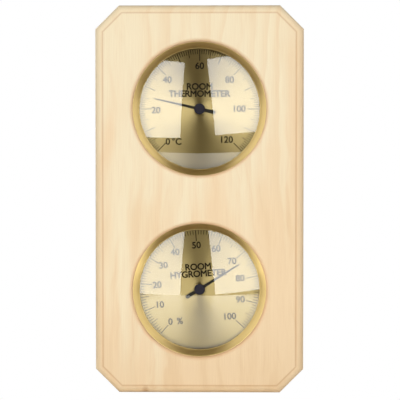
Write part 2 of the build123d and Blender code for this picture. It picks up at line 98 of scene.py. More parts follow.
# ------------------------------------------------------------------------------------------ node trees
class Tree:
    """A shader or geometry node tree, with short ways to add and join nodes."""

    def __init__(self, tree: bpy.types.NodeTree) -> None:
        """Wraps a tree.

        Args:
            tree: the node tree to add to.
        """
        self.tree = tree

    def add(self, kind: str, inputs: dict | None = None, **settings: object) -> bpy.types.Node:
        """Adds one node.

        Args:
            kind: the node's type name.
            inputs: socket names or numbers, each with a value to set or a socket to join.
            settings: the node's own properties.

        Returns:
            The new node.
        """
        node = self.tree.nodes.new(kind)
        for name, value in settings.items():
            setattr(node, name, value)
        for name, value in (inputs or {}).items():
            if isinstance(value, bpy.types.NodeSocket):
                self.tree.links.new(value, node.inputs[name])
            else:
                node.inputs[name].default_value = value
        return node

    def math(self, operation: str, a: Socket | float, b: Socket | float = 0.0) -> Socket:
        """One arithmetic step on two values."""
        return self.add("ShaderNodeMath", {0: a, 1: b}, operation=operation).outputs[0]

    def vector(self, operation: str, a: Socket | Sequence, b: Socket | Sequence = (0, 0, 0)) -> Socket:
        """One step of vector arithmetic, the result a vector."""
        return self.add("ShaderNodeVectorMath", {0: a, 1: b}, operation=operation).outputs[0]

    def plus(self, a: Socket | float, b: Socket | float) -> Socket:
        """The sum of two values."""
        return self.math("ADD", a, b)

    def minus(self, a: Socket | float, b: Socket | float) -> Socket:
        """The first value less the second."""
        return self.math("SUBTRACT", a, b)

    def times(self, a: Socket | float, b: Socket | float) -> Socket:
        """The product of two values."""
        return self.math("MULTIPLY", a, b)

    def scaled(self, a: Socket, factor: Socket | float) -> Socket:
        """A vector times a number."""
        return self.add("ShaderNodeVectorMath", {0: a, "Scale": factor}, operation="SCALE").outputs[0]

    def length(self, a: Socket) -> Socket:
        """A vector's length."""
        return self.add("ShaderNodeVectorMath", {0: a}, operation="LENGTH").outputs["Value"]

    def split(self, a: Socket) -> tuple[Socket, Socket, Socket]:
        """A vector's three parts."""
        parts = self.add("ShaderNodeSeparateXYZ", {0: a}).outputs
        return parts[0], parts[1], parts[2]

    def join(self, x: Socket | float, y: Socket | float, z: Socket | float) -> Socket:
        """A vector from three parts."""
        return self.add("ShaderNodeCombineXYZ", {0: x, 1: y, 2: z}).outputs[0]

    def noise(self, at: Socket, scale: float, detail: float = 2.0, rough: float = 0.5) -> Socket:
        """Smooth noise between 0 and 1."""
        inputs = {"Vector": at, "Scale": scale, "Detail": detail, "Roughness": rough}
        return self.add("ShaderNodeTexNoise", inputs).outputs["Fac"]

    def span(self, value: Socket, low: float, high: float, to_low: float = 0.0, to_high: float = 1.0) -> Socket:
        """Maps a value from one range to another, smoothly and without going past either end."""
        inputs = {"Value": value, "From Min": low, "From Max": high, "To Min": to_low, "To Max": to_high}
        return self.add("ShaderNodeMapRange", inputs, interpolation_type="SMOOTHSTEP").outputs[0]

    def blend(self, share: Socket | float, a: Socket | Sequence, b: Socket | Sequence) -> Socket:
        """A colour between two."""
        node = self.add("ShaderNodeMix", data_type="RGBA")
        for socket, value in zip((node.inputs[0], node.inputs[6], node.inputs[7]), (share, a, b)):
            if isinstance(value, bpy.types.NodeSocket):
                self.tree.links.new(value, socket)
            elif isinstance(value, (int, float)):
                socket.default_value = value
            else:
                socket.default_value = (*value[:3], 1.0)
        return node.outputs[2]

    def bump(self, height: Socket, depth_mm: float, strength: float = 1.0) -> Socket:
        """A normal tipped by a height that runs from 0 to 1 over depth_mm."""
        inputs = {"Height": height, "Distance": depth_mm * MM, "Strength": strength}
        return self.add("ShaderNodeBump", inputs).outputs[0]


def make_group(name: str, inputs: dict[str, str], outputs: dict[str, str]) -> tuple[Tree, dict, dict]:
    """Starts a shader node group.

    Args:
        name: the group's name.
        inputs: input names and kinds, Float, Vector or Color.
        outputs: output names and kinds.

    Returns:
        The tree, its input sockets by name, and its output node's sockets by name.
    """
    group = bpy.data.node_groups.new(name, "ShaderNodeTree")
    for direction, sockets in (("INPUT", inputs), ("OUTPUT", outputs)):
        for label, kind in sockets.items():
            group.interface.new_socket(name=label, in_out=direction, socket_type=f"NodeSocket{kind}")
    tree = Tree(group)
    entry, leave = tree.add("NodeGroupInput"), tree.add("NodeGroupOutput")
    return tree, {s.name: s for s in entry.outputs}, {s.name: s for s in leave.inputs}


def spun_rings_group() -> bpy.types.NodeTree:
    """Fine turned rings about a centre: noise read along the radius, slightly uneven round the turn."""
    tree, given, out = make_group(
        "spun_rings",
        {"Position": "Vector", "Centre": "Vector", "Rings per mm": "Float", "Unevenness": "Float"},
        {"Rings": "Float", "Radius": "Float"},
    )
    offset = tree.vector("SUBTRACT", given["Position"], given["Centre"])
    x, _, z = tree.split(offset)
    radius = tree.times(tree.length(tree.join(x, 0.0, z)), 1 / MM)
    wander = tree.times(tree.noise(offset, 40.0, 1.0), given["Unevenness"])
    along = tree.plus(tree.times(radius, given["Rings per mm"]), wander)
    rings = tree.noise(tree.join(along, 0.0, 0.0), 1.0, 3.0, 0.65)
    tree.tree.links.new(rings, out["Rings"])
    tree.tree.links.new(radius, out["Radius"])
    return tree.tree


def handling_group() -> bpy.types.NodeTree:
    """Faint smudges and fine speckle, such as handling and dust leave: two sizes of noise."""
    tree, given, out = make_group(
        "handling", {"Position": "Vector", "Smudge size mm": "Float"}, {"Smudge": "Float", "Speckle": "Float"}
    )
    scale = tree.math("DIVIDE", 1 / MM, given["Smudge size mm"])
    scaled = tree.scaled(given["Position"], scale)
    smudge = tree.span(tree.noise(scaled, 1.0, 3.0), 0.42, 0.68)
    speckle = tree.span(tree.noise(scaled, 14.0, 2.0), 0.62, 0.72)
    tree.tree.links.new(smudge, out["Smudge"])
    tree.tree.links.new(speckle, out["Speckle"])
    return tree.tree


class Group(Enum):
    """The shader node groups that more than one material uses."""

    SPUN_RINGS = "spun_rings"
    HANDLING = "handling"

    @property
    def tree(self) -> bpy.types.NodeTree:
        """The group's node tree, made on first use."""
        if self.value not in bpy.data.node_groups:
            {"spun_rings": spun_rings_group, "handling": handling_group}[self.value]()
        return bpy.data.node_groups[self.value]


class Paint(Tree):
    """A material's tree with its one Principled shader."""

    def __init__(self, name: str, **constants: object) -> None:
        """Starts a material.

        Args:
            name: the material's name.
            constants: values for the shader's sockets, underscores for spaces.
        """
        self.material = bpy.data.materials.new(name)
        self.material.use_nodes = True
        super().__init__(self.material.node_tree)
        self.tree.nodes.clear()
        self.output = self.add("ShaderNodeOutputMaterial")
        self.shader = self.add("ShaderNodeBsdfPrincipled")
        self.tree.links.new(self.shader.outputs[0], self.output.inputs[0])
        for label, value in constants.items():
            self.set(label.replace("_", " "), value)

    def set(self, label: str, value: object) -> None:
        """Sets or joins one of the shader's sockets."""
        socket = self.shader.inputs[label]
        if isinstance(value, bpy.types.NodeSocket):
            self.tree.links.new(value, socket)
        elif isinstance(value, tuple) and len(value) == 3:
            socket.default_value = (*value, 1.0)
        else:
            socket.default_value = value

    @property
    def position(self) -> Socket:
        """Object coordinates, which on these pieces are the row frame's metres."""
        return self.add("ShaderNodeTexCoord").outputs["Object"]

    def group(self, group: Group, **inputs: object) -> bpy.types.bpy_prop_collection:
        """Places a shared group and returns its outputs."""
        values = {label.replace("_", " "): value for label, value in inputs.items()}
        return self.add("ShaderNodeGroup", values, node_tree=group.tree).outputs


# ------------------------------------------------------------------------------------------ finishes
@dataclass(frozen=True)
class Pine:
    """Clear, sanded pine, cut so that its growth rings run up the board; lengths in millimetres."""

    cream: Colour = (0.905, 0.775, 0.535)
    honey: Colour = (0.84, 0.62, 0.37)
    rose: Colour = (0.88, 0.67, 0.42)
    amber: Colour = (0.56, 0.31, 0.13)
    burnish: Colour = (0.86, 0.50, 0.26)
    pith_x: float = -96.0
    pith_y: float = 64.0
    ring_mm: float = 8.6
    wander_mm: float = 42.0
    wander_per_mm: Triple = (0.016, 0.016, 0.0065)
    clear_per_mm: Triple = (0.055, 0.055, 0.009)
    fibre_per_mm: Triple = (2.6, 2.6, 0.035)
    streak_per_mm: Triple = (0.13, 0.2, 0.012)
    broad_per_mm: tuple[float, float] = (0.05, 0.007)
    broad_lean: float = 0.0016
    knot_mm: Triple = (-35.5, -27.5, -124.6)
    knot_squash: Triple = (1.0, 1.0, 0.75)
    knot_pull: float = 90.0
    knot_reach_mm: float = 9.0
    figure_mm: Triple = (-38.0, -30.0, -16.0)
    figure_squash: Triple = (1.0, 0.6, 0.55)
    bore_mm: float = 44.0
    burnish_width_mm: float = 2.6
    edge_mm: float = 4.9
    clip_mm: float = 15.5
    slant: float = 0.7071
    front_mm: tuple[float, float] = (-20.0, -24.0)
    smoothest: float = 0.46
    relief_mm: float = 0.05

    def material(self, bores: Sequence[Vector]) -> bpy.types.Material:
        """Growth rings lie under the fibres and the knot; the moulded edge is darkened with painted shade, and each
        bore's edge is warmer.

        Args:
            bores: a point on the axis of each bore.

        Returns:
            The material.
        """
        paint = Paint("pine", IOR=1.45)
        place = paint.scaled(paint.position, 1 / MM)
        knot = self.reach(paint, place, self.knot_mm, self.knot_squash)
        across = self.across(paint, place, knot)
        late = self.late_wood(paint, place, across)
        fibre = paint.noise(paint.vector("MULTIPLY", place, self.fibre_per_mm), 1.0, 3.0, 0.6)
        colour = self.figured(paint, place, across, late)
        colour = paint.blend(paint.span(fibre, 0.35, 0.75, 0.0, 0.14), colour, self.amber)
        colour = paint.blend(paint.span(knot, 3.4, 0.9, 0.0, 0.75), colour, self.amber)
        # painted shade on the moulded edge: a darker band and a shadow line in its crease
        colour = self.moulded(paint, place, colour)
        # a warmer, darker tint painted in a ring round each bore's edge, strongest at the bore
        for bore in bores:
            radius = self.reach(paint, place, tuple(bore / MM), (1.0, 0.0, 1.0))
            bore_edge_share = paint.span(radius, self.bore_mm + self.burnish_width_mm, self.bore_mm, 0.0, 0.55)
            colour = paint.blend(bore_edge_share, colour, self.burnish)
        paint.set("Base Color", colour)
        paint.set("Roughness", paint.plus(self.smoothest, paint.times(fibre, 0.16)))
        relief = paint.plus(paint.times(fibre, 0.6), paint.times(late, 0.4))
        paint.set("Normal", paint.bump(relief, self.relief_mm, 0.6))
        return paint.material

    def reach(self, paint: Paint, place: Socket, middle: Triple, squash: Triple) -> Socket:
        """The distance from a point, each axis weighted by its share in `squash`."""
        return paint.length(paint.vector("MULTIPLY", paint.vector("SUBTRACT", place, middle), squash))

    def across(self, paint: Paint, place: Socket, knot: Socket) -> Socket:
        """How far across the board a point is from the pith: wandering, and drawn aside near the knot."""
        x, _, _ = paint.split(place)
        wander = paint.noise(paint.vector("MULTIPLY", place, self.wander_per_mm), 1.0, 3.0, 0.55)
        wandering = paint.times(paint.minus(wander, 0.5), self.wander_mm)
        pull = paint.math("DIVIDE", self.knot_pull, paint.plus(knot, self.knot_reach_mm))
        return paint.plus(paint.plus(paint.minus(x, self.pith_x), wandering), pull)

    def late_wood(self, paint: Paint, place: Socket, across: Socket) -> Socket:
        """Each ring darkens slowly and ends quickly; the ring's place is its distance from the pith."""
        _, y, _ = paint.split(place)
        distance = paint.length(paint.join(across, paint.minus(y, self.pith_y), 0.0))
        season = paint.math("FRACT", paint.math("DIVIDE", distance, self.ring_mm))
        return paint.times(paint.span(season, 0.15, 0.85), paint.span(season, 1.0, 0.88))

    def figured(self, paint: Paint, place: Socket, across: Socket, late: Socket) -> Socket:
        """The wood's colour: broad rosy bands, rings, honey streaks that grow lower down, and one patch."""
        x, y, z = paint.split(place)
        clear = paint.noise(paint.vector("MULTIPLY", place, self.clear_per_mm), 1.0, 2.0)
        rings = paint.times(late, paint.span(clear, 0.38, 0.62, 0.0, 0.5))
        broad_across, broad_up = self.broad_per_mm
        broad_at = paint.join(paint.times(across, broad_across), 0.0, paint.times(z, broad_up))
        lean = paint.plus(paint.times(z, -self.broad_lean), paint.times(x, self.broad_lean))
        broad = paint.span(paint.plus(paint.noise(broad_at, 1.0, 3.0, 0.45), lean), 0.36, 0.66)
        streak_across, streak_deep, streak_up = self.streak_per_mm
        streak_at = paint.join(
            paint.times(across, streak_across), paint.times(y, streak_deep), paint.times(z, streak_up)
        )
        lower = paint.span(paint.minus(z, x), 70.0, -110.0, 0.25, 1.0)
        streak = paint.times(paint.span(paint.noise(streak_at, 1.0, 4.0, 0.6), 0.50, 0.66), lower)
        patch = paint.span(self.reach(paint, place, self.figure_mm, self.figure_squash), 13.0, 4.0, 0.0, 0.5)
        colour = paint.blend(broad, self.cream, self.rose)
        for share in (rings, streak, patch):
            colour = paint.blend(share, colour, self.honey)
        return colour

    def moulded(self, paint: Paint, place: Socket, colour: Socket) -> Socket:
        """Painted shade on the front: a warmer, darker band over the moulding inside the clipped outline, and a dark
        painted shadow line in the crease along the band.
        """
        x, y, z = paint.split(place)
        wide, tall = (CAD_HIGH.x - CAD_LOW.x) / 2 / MM, (CAD_HIGH.z - CAD_LOW.z) / 2 / MM
        sideways, upright = paint.math("ABSOLUTE", x), paint.math("ABSOLUTE", z)
        inset = paint.math("MINIMUM", paint.minus(wide, sideways), paint.minus(tall, upright))
        diagonal = paint.minus(wide + tall - self.clip_mm, paint.plus(sideways, upright))
        inset = paint.math("MINIMUM", inset, paint.times(diagonal, self.slant))
        within = paint.span(inset, self.edge_mm + 0.3, self.edge_mm - 0.9)
        # painted shade: the rounded moulding drawn in a warmer, darker colour
        painted_band_shade = paint.times(within, paint.span(inset, 0.3, 2.2, 0.14, 0.24))
        # painted shade: a dark line where the moulding meets the flat face
        off_shade_line = paint.math("ABSOLUTE", paint.minus(inset, self.edge_mm + 0.2))
        painted_crease_shade = paint.span(off_shade_line, 0.9, 0.1, 0.0, 0.42)
        front = paint.span(y, *self.front_mm)
        colour = paint.blend(paint.times(painted_band_shade, front), colour, self.honey)
        return paint.blend(paint.times(painted_crease_shade, front), colour, self.amber)


@dataclass(frozen=True)
class SpunMetal:
    """Metal with turned or spun rings about an axis along Y."""

    name: str
    colour: Colour
    deep: Colour
    roughness: float = 0.3
    rings_per_mm: float = 3.0
    ring_strength: float = 0.25
    anisotropy: float = 0.0
    relief_mm: float = 0.004
    smudge: float = 0.06
    unevenness: float = 0.06

    def material(self, centre: Vector) -> bpy.types.Material:
        """Rings vary the colour, the roughness and the surface; the highlight stretches out from the axis.

        Args:
            centre: a point on the axis.

        Returns:
            The material.
        """
        paint = Paint(self.name, Metallic=1.0, Anisotropic=self.anisotropy)
        place = paint.position
        rings = paint.group(
            Group.SPUN_RINGS, Position=place, Centre=tuple(centre), Rings_per_mm=self.rings_per_mm, Unevenness=0.6
        )["Rings"]
        handled = paint.group(Group.HANDLING, Position=place, Smudge_size_mm=9.0)
        share = paint.span(rings, 0.25, 0.75, 0.0, self.ring_strength)
        paint.set("Base Color", paint.blend(share, self.colour, self.deep))
        uneven = paint.times(paint.minus(rings, 0.5), self.unevenness)
        roughened = paint.plus(self.roughness, uneven)
        paint.set("Roughness", paint.plus(roughened, paint.times(handled["Smudge"], self.smudge)))
        if self.relief_mm:
            paint.set("Normal", paint.bump(rings, self.relief_mm, 0.5))
        if self.anisotropy:
            offset = paint.vector("SUBTRACT", place, tuple(centre))
            outward = paint.vector("MULTIPLY", offset, (1.0, 0.0, 1.0))
            turned = paint.add(
                "ShaderNodeVectorTransform",
                {0: outward},
                vector_type="VECTOR",
                convert_from="OBJECT",
                convert_to="WORLD",
            )
            paint.set("Tangent", paint.vector("NORMALIZE", turned.outputs[0]))
        return paint.material


@dataclass(frozen=True)
class SheetMetal:
    """Rolled or plated sheet: fine straight grain, faint mottling and handling marks."""

    name: str
    colour: Colour
    deep: Colour
    roughness: float = 0.34
    grain_per_mm: float = 6.0

    def material(self) -> bpy.types.Material:
        """Grain is noise stretched along X; mottling mixes the two colours."""
        paint = Paint(self.name, Metallic=1.0)
        place = paint.position
        stretched = paint.vector("MULTIPLY", place, (40.0, 1 / MM * self.grain_per_mm, 1 / MM * self.grain_per_mm))
        grain = paint.noise(stretched, 1.0, 2.0)
        handled = paint.group(Group.HANDLING, Position=place, Smudge_size_mm=5.0)
        share = paint.plus(paint.times(handled["Smudge"], 0.45), paint.times(grain, 0.3))
        paint.set("Base Color", paint.blend(share, self.colour, self.deep))
        paint.set("Roughness", paint.plus(self.roughness - 0.06, paint.times(grain, 0.16)))
        paint.set("Normal", paint.bump(grain, 0.003, 0.4))
        return paint.material


@dataclass(frozen=True)
class Coating:
    """Paint, plastic, rubber or ink: one colour with a slight orange peel and dust."""

    name: str
    colour: Colour
    roughness: float
    dust: Colour = (0.30, 0.27, 0.24)
    dust_share: float = 0.05
    peel_mm: float = 0.006
    shine: float = 0.5

    def material(self) -> bpy.types.Material:
        """Speckles of dust lighten the colour; fine noise is the peel."""
        paint = Paint(self.name, Specular_IOR_Level=self.shine)
        place = paint.position
        handled = paint.group(Group.HANDLING, Position=place, Smudge_size_mm=3.0)
        dusty = paint.times(handled["Speckle"], self.dust_share)
        paint.set("Base Color", paint.blend(dusty, self.colour, self.dust))
        paint.set("Roughness", paint.plus(self.roughness, paint.times(handled["Smudge"], 0.08)))
        paint.set("Normal", paint.bump(paint.noise(place, 3500.0, 1.0), self.peel_mm, 0.4))
        return paint.material


@dataclass(frozen=True)
class LensGlass:
    """Clear window glass, with faint wiping marks, which lets the lamps light the dial behind it."""

    tint: Colour = (0.985, 0.995, 0.985)
    gloss: float = 0.015
    smear: float = 0.03
    ior: float = 1.5

    def material(self) -> bpy.types.Material:
        """Mirrors by Fresnel where a ray comes in, once for both faces, and is clear where it goes out."""
        paint = Paint("lens_glass", Base_Color=WHITE, Metallic=1.0)
        handled = paint.group(Group.HANDLING, Position=paint.position, Smudge_size_mm=14.0)
        paint.set("Roughness", paint.plus(self.gloss, paint.times(handled["Smudge"], self.smear)))
        clear = paint.add("ShaderNodeBsdfTransparent", {"Color": (*self.tint, 1.0)})
        mirror = paint.add("ShaderNodeFresnel", {"IOR": self.ior}).outputs[0]
        leaving = paint.add("ShaderNodeNewGeometry").outputs["Backfacing"]
        entering = paint.times(2.0, paint.minus(1.0, leaving))
        share = paint.math("MINIMUM", paint.times(mirror, entering), 1.0)
        mixed = paint.add("ShaderNodeMixShader", {0: share, 1: clear.outputs[0], 2: paint.shader.outputs[0]})
        paint.tree.links.new(mixed.outputs[0], paint.output.inputs[0])
        return paint.material


# ------------------------------------------------------------------------------------------ meshes
def new_piece(name: str, mesh: bpy.types.Mesh, material: bpy.types.Material, sharp: float = 35.0) -> bpy.types.Object:
    """Links a mesh as an object, smooth but for edges sharper than an angle.

    Args:
        name: the piece's name.
        mesh: its mesh, already in place.
        material: its one material.
        sharp: the angle in degrees.

    Returns:
        The object.
    """
    mesh.materials.append(material)
    mesh.shade_smooth()
    mesh.set_sharp_from_angle(angle=radians(sharp))
    piece = bpy.data.objects.new(name, mesh)
    bpy.context.scene.collection.objects.link(piece)
    return piece


def mesh_from(name: str, points: np.ndarray, faces: np.ndarray) -> bpy.types.Mesh:
    """A mesh from an array of points and an array of four-cornered faces, merged and facing outwards."""
    mesh = bpy.data.meshes.new(name)
    mesh.from_pydata(points.reshape(-1, 3).tolist(), [], faces.reshape(-1, 4).tolist())
    work = bmesh.new()
    work.from_mesh(mesh)
    bmesh.ops.remove_doubles(work, verts=work.verts, dist=1e-7)
    bmesh.ops.recalc_face_normals(work, faces=work.faces)
    work.to_mesh(mesh)
    work.free()
    return mesh


def revolved(name: str, profile: np.ndarray, centre: Vector, segments: int = 192) -> bpy.types.Mesh:
    """Carries a closed profile round an axis along Y.

    The point for profile corner (r, y) at turn t is centre + (r cos t, y, r sin t).

    Args:
        name: the mesh's name.
        profile: corners (radius, y) of the closed outline; radius 0 is on the axis.
        centre: a point on the axis; its Y isn't used.
        segments: steps round the turn.

    Returns:
        The mesh.
    """
    turn = np.linspace(0, 2 * pi, segments, endpoint=False)[:, None]
    radius, height = profile[:, 0][None], profile[:, 1][None]
    across, up = centre.x + radius * np.cos(turn), centre.z + radius * np.sin(turn)
    count = len(profile)
    points = np.stack([across, np.broadcast_to(height, (segments, count)), up], axis=-1)
    row, column = np.meshgrid(np.arange(segments), np.arange(count), indexing="ij")
    here, there = row * count, (row + 1) % segments * count
    after = (column + 1) % count
    faces = np.stack([here + column, here + after, there + after, there + column], axis=-1)
    return mesh_from(name, points, faces)


def arc(start: tuple[float, float], end: tuple[float, float], bulge: float, steps: int) -> np.ndarray:
    """Points from start to end, pushed sideways by a parabola that is `bulge` high in the middle."""
    share = np.linspace(0, 1, steps)[:, None]
    a, b = np.array(start), np.array(end)
    run = b - a
    side = np.array([-run[1], run[0]]) / np.hypot(*run)
    return a + share * run + 4 * bulge * share * (1 - share) * side


def smooth_cad(node: str, material: bpy.types.Material, sharp: float = 32.0) -> None:
    """Gives a CAD node its finish, and shades it smooth where its faces meet gently.

    Args:
        node: the node's name.
        material: its finish.
        sharp: edges sharper than this many degrees stay sharp.
    """
    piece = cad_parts[node]
    piece.data.materials.clear()
    piece.data.materials.append(material)
    modifier = piece.modifiers.new("smooth", "NODES")
    modifier.node_group = smoothing_group(sharp)
    weighted = piece.modifiers.new("weighted", "WEIGHTED_NORMAL")
    weighted.keep_sharp = True
    weighted.weight = 100


def smoothing_group(sharp: float) -> bpy.types.NodeTree:
    """Geometry nodes that merge loose triangles and keep only edges past an angle sharp."""
    name = f"smooth_by_{sharp:.0f}"
    if name in bpy.data.node_groups:
        return bpy.data.node_groups[name]
    group = bpy.data.node_groups.new(name, "GeometryNodeTree")
    for direction in ("INPUT", "OUTPUT"):
        group.interface.new_socket(name="Geometry", in_out=direction, socket_type="NodeSocketGeometry")
    tree = Tree(group)
    start, end = tree.add("NodeGroupInput"), tree.add("NodeGroupOutput")
    merged = tree.add("GeometryNodeMergeByDistance", {"Geometry": start.outputs[0], "Distance": 2e-6})
    smooth = tree.add("GeometryNodeSetShadeSmooth", {"Geometry": merged.outputs[0]}, domain="FACE")
    angle = tree.add("GeometryNodeInputMeshEdgeAngle").outputs["Unsigned Angle"]
    steep = tree.add(
        "FunctionNodeCompare", {0: angle, 1: radians(sharp)}, data_type="FLOAT", operation="GREATER_THAN"
    )
    edges = tree.add(
        "GeometryNodeSetShadeSmooth",
        {"Geometry": smooth.outputs[0], "Selection": steep.outputs[0], "Shade Smooth": False},
        domain="EDGE",
    )
    group.links.new(edges.outputs[0], end.inputs[0])
    return group


# ------------------------------------------------------------------------------------------ gauges
@dataclass(frozen=True)
class Scale:
    """What one dial shows: its range, its marks, its words, and each numeral's middle in millimetres."""

    top: int
    numeral_step: int
    unit: str
    words: tuple[str, str]
    places: tuple[tuple[float, float], ...]
    first_angle: float = 45.0
    sweep: float = 270.0
    major_every: int = 10
    mid_every: int = 5


@dataclass(frozen=True)
class Type:
    """How a dial's letters are set: size, how far each stroke is widened on each side, and spacing."""

    size_mm: float
    weight_mm: float
    spacing: float = 1.0
    curve_steps: int = 6


@dataclass
class Gauge:
    """One gauge: its printed dial, ring, glass, coil and the finishes of its CAD pieces."""

    name: str
    turn: float
    scale: Scale
    window_mm: float = 39.8
    mark_outer_mm: float = 39.3
    minor_inner_mm: float = 36.3
    mid_inner_mm: float = 34.2
    major_inner_mm: float = 31.9
    mark_width_mm: float = 0.4
    major_width_mm: float = 0.55
    ink_mm: float = 0.02
    numeral_type: Type = Type(6.0, 0.15)
    word_type: Type = Type(5.9, 0.2, 0.97)
    word_heights_mm: tuple[float, float] = (14.9, 10.2)
    lens_curve_mm: float = 190.0
    lens_thickness_mm: float = 1.8
    lens_steps: int = 40
    ring_width_mm: float = 4.2
    ring_lip_mm: float = 0.8
    ring_sheet_mm: float = 0.6
    ring_roll_mm: float = 0.22
    ring_crown_mm: float = 0.25
    ring_back_gap_mm: float = 0.3
    ring_back_sag_mm: float = -0.35
    coil_turns: int = 6
    coil_steps: int = 72
    coil_inset_mm: float = 0.02
    coil_strip_mm: float = 0.3
    coil_inner_mm: float = 3.1
    coil_outer_mm: float = 13.9
    coil_leg_mm: float = 1.45
    coil_reach_mm: float = 16.2

    def node(self, piece: str) -> str:
        """The full name of one of this gauge's CAD nodes."""
        return f"{self.name}_{piece}"

    @property
    def centre(self) -> Vector:
        """The middle of the dial's front face."""
        low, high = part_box(self.node("dial"))
        return Vector(((low.x + high.x) / 2, low.y, (low.z + high.z) / 2))

    def placed(self, mesh: bpy.types.Mesh) -> bpy.types.Mesh:
        """Turns a flat mesh made about the origin in X and Z with the gauge, and moves it onto the dial."""
        turn = Matrix.Rotation(radians(self.turn), 4, "Y")
        mesh.transform(Matrix.Translation(self.centre) @ turn)
        return mesh

    def marks_mesh(self) -> bpy.types.Mesh:
        """One thin ink bar for each unit of the scale, longer at every fifth and tenth.

        A bar at angle a from straight down runs along (-sin a, 0, -cos a) from its inner to its outer
        radius, and is half its width to each side.
        """
        scale = self.scale
        unit = np.arange(scale.top + 1)
        angle = np.radians(scale.first_angle + scale.sweep * unit / scale.top)
        major, mid = unit % scale.major_every == 0, unit % scale.mid_every == 0
        inner = np.where(major, self.major_inner_mm, np.where(mid, self.mid_inner_mm, self.minor_inner_mm)) * MM
        half = np.where(major, self.major_width_mm, self.mark_width_mm) * MM / 2
        outer = np.full_like(inner, self.mark_outer_mm * MM)
        along = np.stack([-np.sin(angle), np.zeros_like(angle), -np.cos(angle)], axis=-1)
        aside = np.stack([np.cos(angle), np.zeros_like(angle), -np.sin(angle)], axis=-1)
        corners = []
        for depth in (0.0, -self.ink_mm * MM):
            for radius, side in ((inner, -1), (outer, -1), (outer, 1), (inner, 1)):
                corner = along * radius[:, None] + aside * (side * half)[:, None]
                corners.append(corner + np.array([0.0, depth, 0.0]))
        points = np.stack(corners, axis=1)
        pattern = np.array([[0, 1, 2, 3], [7, 6, 5, 4], [0, 4, 5, 1], [1, 5, 6, 2], [2, 6, 7, 3], [3, 7, 4, 0]])
        faces = pattern[None] + 8 * np.arange(len(unit))[:, None, None]
        return self.placed(mesh_from(f"{self.name}_marks", points, faces))

    def letters(self, text: str, style: Type, x_mm: float, z_mm: float) -> bpy.types.Mesh:
        """Raised ink letters, upright and centred on a point of the dial.

        Args:
            text: what to write.
            style: how the letters are set.
            x_mm: the text's middle, to the right of the dial's centre.
            z_mm: the text's middle, above the dial's centre.

        Returns:
            The letters as a mesh about the dial's centre.
        """
        curve = bpy.data.curves.new("letters", "FONT")
        curve.body, curve.size, curve.bevel_depth = text, style.size_mm, style.weight_mm
        curve.space_character, curve.bevel_resolution = style.spacing, 0
        curve.resolution_u = style.curve_steps
        carrier = bpy.data.objects.new("letters", curve)
        bpy.context.scene.collection.objects.link(carrier)
        bpy.context.view_layer.update()
        mesh = bpy.data.meshes.new_from_object(carrier.evaluated_get(bpy.context.evaluated_depsgraph_get()))
        bpy.data.objects.remove(carrier)
        flat = np.zeros(len(mesh.vertices) * 3)
        mesh.vertices.foreach_get("co", flat)
        low, high = flat.reshape(-1, 3).min(0), flat.reshape(-1, 3).max(0)
        middle = Matrix.Translation((-(low[0] + high[0]) / 2, -(low[1] + high[1]) / 2, 0))
        flatten = Matrix.Diagonal((1.0, 1.0, self.ink_mm / 2 / style.weight_mm, 1.0))
        upright = Matrix.Rotation(pi / 2, 4, "X") @ flatten
        place = Matrix.Translation((x_mm * MM, -self.ink_mm * MM / 2, z_mm * MM))
        mesh.transform(place @ upright @ Matrix.Scale(MM, 4) @ middle)
        return mesh

    def lettering_mesh(self) -> bpy.types.Mesh:
        """All numerals, the unit and the two lines of words, as one mesh."""
        work = bmesh.new()
        labels = [str(value) for value in range(0, self.scale.top + 1, self.scale.numeral_step)]
        labels.append(self.scale.unit)
        texts = [(label, self.numeral_type, x, z) for label, (x, z) in zip(labels, self.scale.places)]
        lines = zip(self.scale.words, self.word_heights_mm)
        texts += [(line, self.word_type, 0.0, height) for line, height in lines]
        for text in texts:
            mesh = self.letters(*text)
            work.from_mesh(mesh)
            bpy.data.meshes.remove(mesh)
        mesh = bpy.data.meshes.new(f"{self.name}_lettering")
        work.to_mesh(mesh)
        work.free()
        return self.placed(mesh)

    def lens_mesh(self) -> bpy.types.Mesh:
        """A domed glass of even thickness: y falls back by R - sqrt(R^2 - r^2) from each apex."""
        low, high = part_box(self.node("lens"))
        radius = (high.z - low.z) / 2
        curve = self.lens_curve_mm * MM
        inner = curve - self.lens_thickness_mm * MM
        across = np.linspace(0, 1, self.lens_steps) * radius
        front = np.stack([across, low.y + curve - np.sqrt(curve**2 - across**2)], axis=-1)
        back_apex = low.y + self.lens_thickness_mm * MM
        back = np.stack([across, back_apex + inner - np.sqrt(inner**2 - across**2)], axis=-1)
        return revolved(self.node("glass"), np.concatenate([front, back[::-1]]), self.centre)

    def bezel_mesh(self) -> bpy.types.Mesh:
        """The gold ring: a crowned slope from the opening to the window, with a rolled inner lip."""
        low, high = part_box(self.node("bezel"))
        outer = (high.z - low.z) / 2
        window, opening = self.window_mm * MM, (self.window_mm + self.ring_width_mm) * MM
        lip, sheet, roll = self.ring_lip_mm * MM, self.ring_sheet_mm * MM, self.ring_roll_mm * MM
        turn = np.linspace(0, pi, 9)[:, None]
        rolled = np.array([window + sheet / 2, high.y - sheet / 2]) + sheet / 2 * np.concatenate(
            [-np.sin(turn), -np.cos(turn)], axis=-1
        )
        slope = arc((opening, low.y), (rolled[0, 0], rolled[0, 1]), self.ring_crown_mm * MM, 14)
        rear = (opening + self.ring_back_gap_mm * MM, low.y + sheet)
        back = arc((window + lip, high.y), rear, self.ring_back_sag_mm * MM, 10)
        front_rim, back_rim = [[outer, low.y], [opening + roll, low.y]], [[outer, low.y + sheet]]
        profile = np.concatenate([front_rim, slope, rolled[1:], back, back_rim])
        return revolved(self.node("ring"), profile, self.centre)

